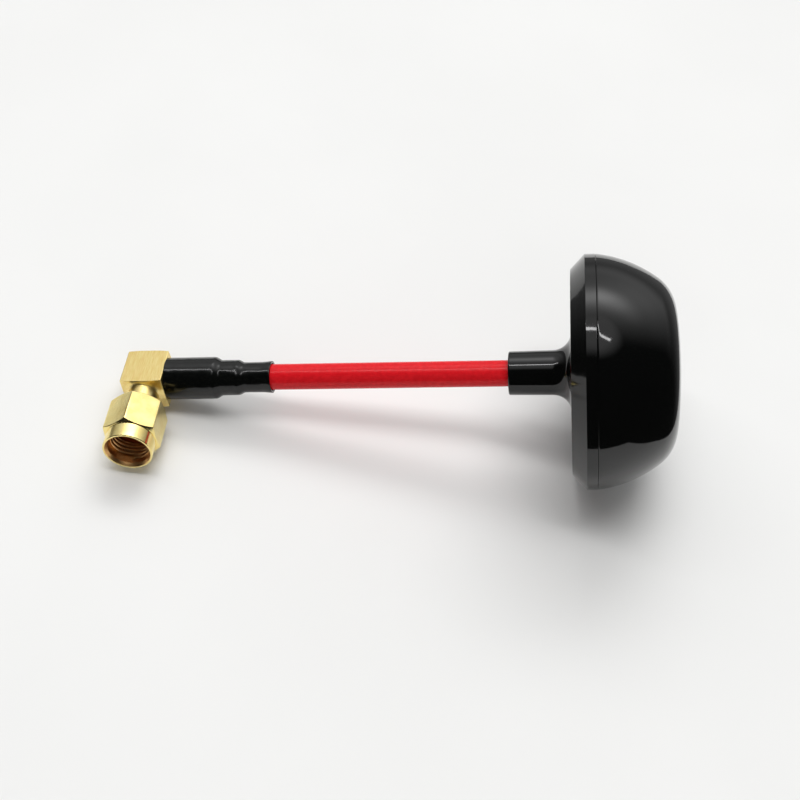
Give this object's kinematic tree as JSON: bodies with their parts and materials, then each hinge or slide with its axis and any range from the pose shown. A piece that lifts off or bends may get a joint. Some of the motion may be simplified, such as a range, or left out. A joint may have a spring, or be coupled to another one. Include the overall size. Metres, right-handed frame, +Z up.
{
  "type": "fpv antenna",
  "caption": "Circular polarised video antenna: domed radome on a short coax mast with a right-angle threaded plug.",
  "frame": {"origin": "middle of the ground that the antenna covers, at the height of the ground it lies on", "axes": "+X along the ground from the connector to the dome, +Y away from the plug's mouth, +Z up"},
  "size_m": [0.0872, 0.0356, 0.0354],
  "materials": {
    "gold_polished": "gold plated, turned and polished",
    "gold_brushed": "gold plated over a finely brushed bar",
    "spring_bronze": "bare spring bronze, satin",
    "seal_silicone": "soft silicone, matt",
    "insulator_white": "turned fluoropolymer, waxy",
    "ferrule_nickel": "nickel plated, satin",
    "sleeve_black": "shrunk polyolefin, satin with soft wrinkles",
    "jacket_red": "smooth extruded jacket over a braid that shows through",
    "braid_tinned": "tin soaked copper braid",
    "wire_silvered": "silver plated drawn wire",
    "radome_black": "moulded and glossy",
    "glue_clear": "hot-melt glue, milky",
    "wire_copper": "bare drawn copper",
    "solder": "flowed solder, bright"
  },
  "bodies": {
    "mast": {"connector_body": "gold_brushed", "rear_cap": "gold_polished", "snap_ring": "spring_bronze", "nut_gasket": "seal_silicone", "contact_insulator": "insulator_white", "centre_contact": "gold_polished", "cable_ferrule": "ferrule_nickel", "heat_shrink_sleeve": "sleeve_black", "cable_jacket": "jacket_red", "coax_braid": "braid_tinned", "coax_dielectric": "insulator_white", "coax_centre_wire": "wire_silvered", "radome_base": "radome_black", "radome_dome": "radome_black", "glue_bead": "glue_clear", "lobe_wire_1": "wire_copper", "lobe_wire_2": "wire_copper", "lobe_wire_3": "wire_copper", "ground_solder": "solder", "feed_solder": "solder"},
    "nut": {"coupling_nut": "gold_polished"}
  },
  "joints": [
    {"name": "nut_spin", "type": "hinge", "parent": "mast", "child": "nut", "pos_m": [-0.03916, -0.0127, 0.005], "axis": [-0.0178, -0.9959, 0.0883], "continuous": true}
  ]
}
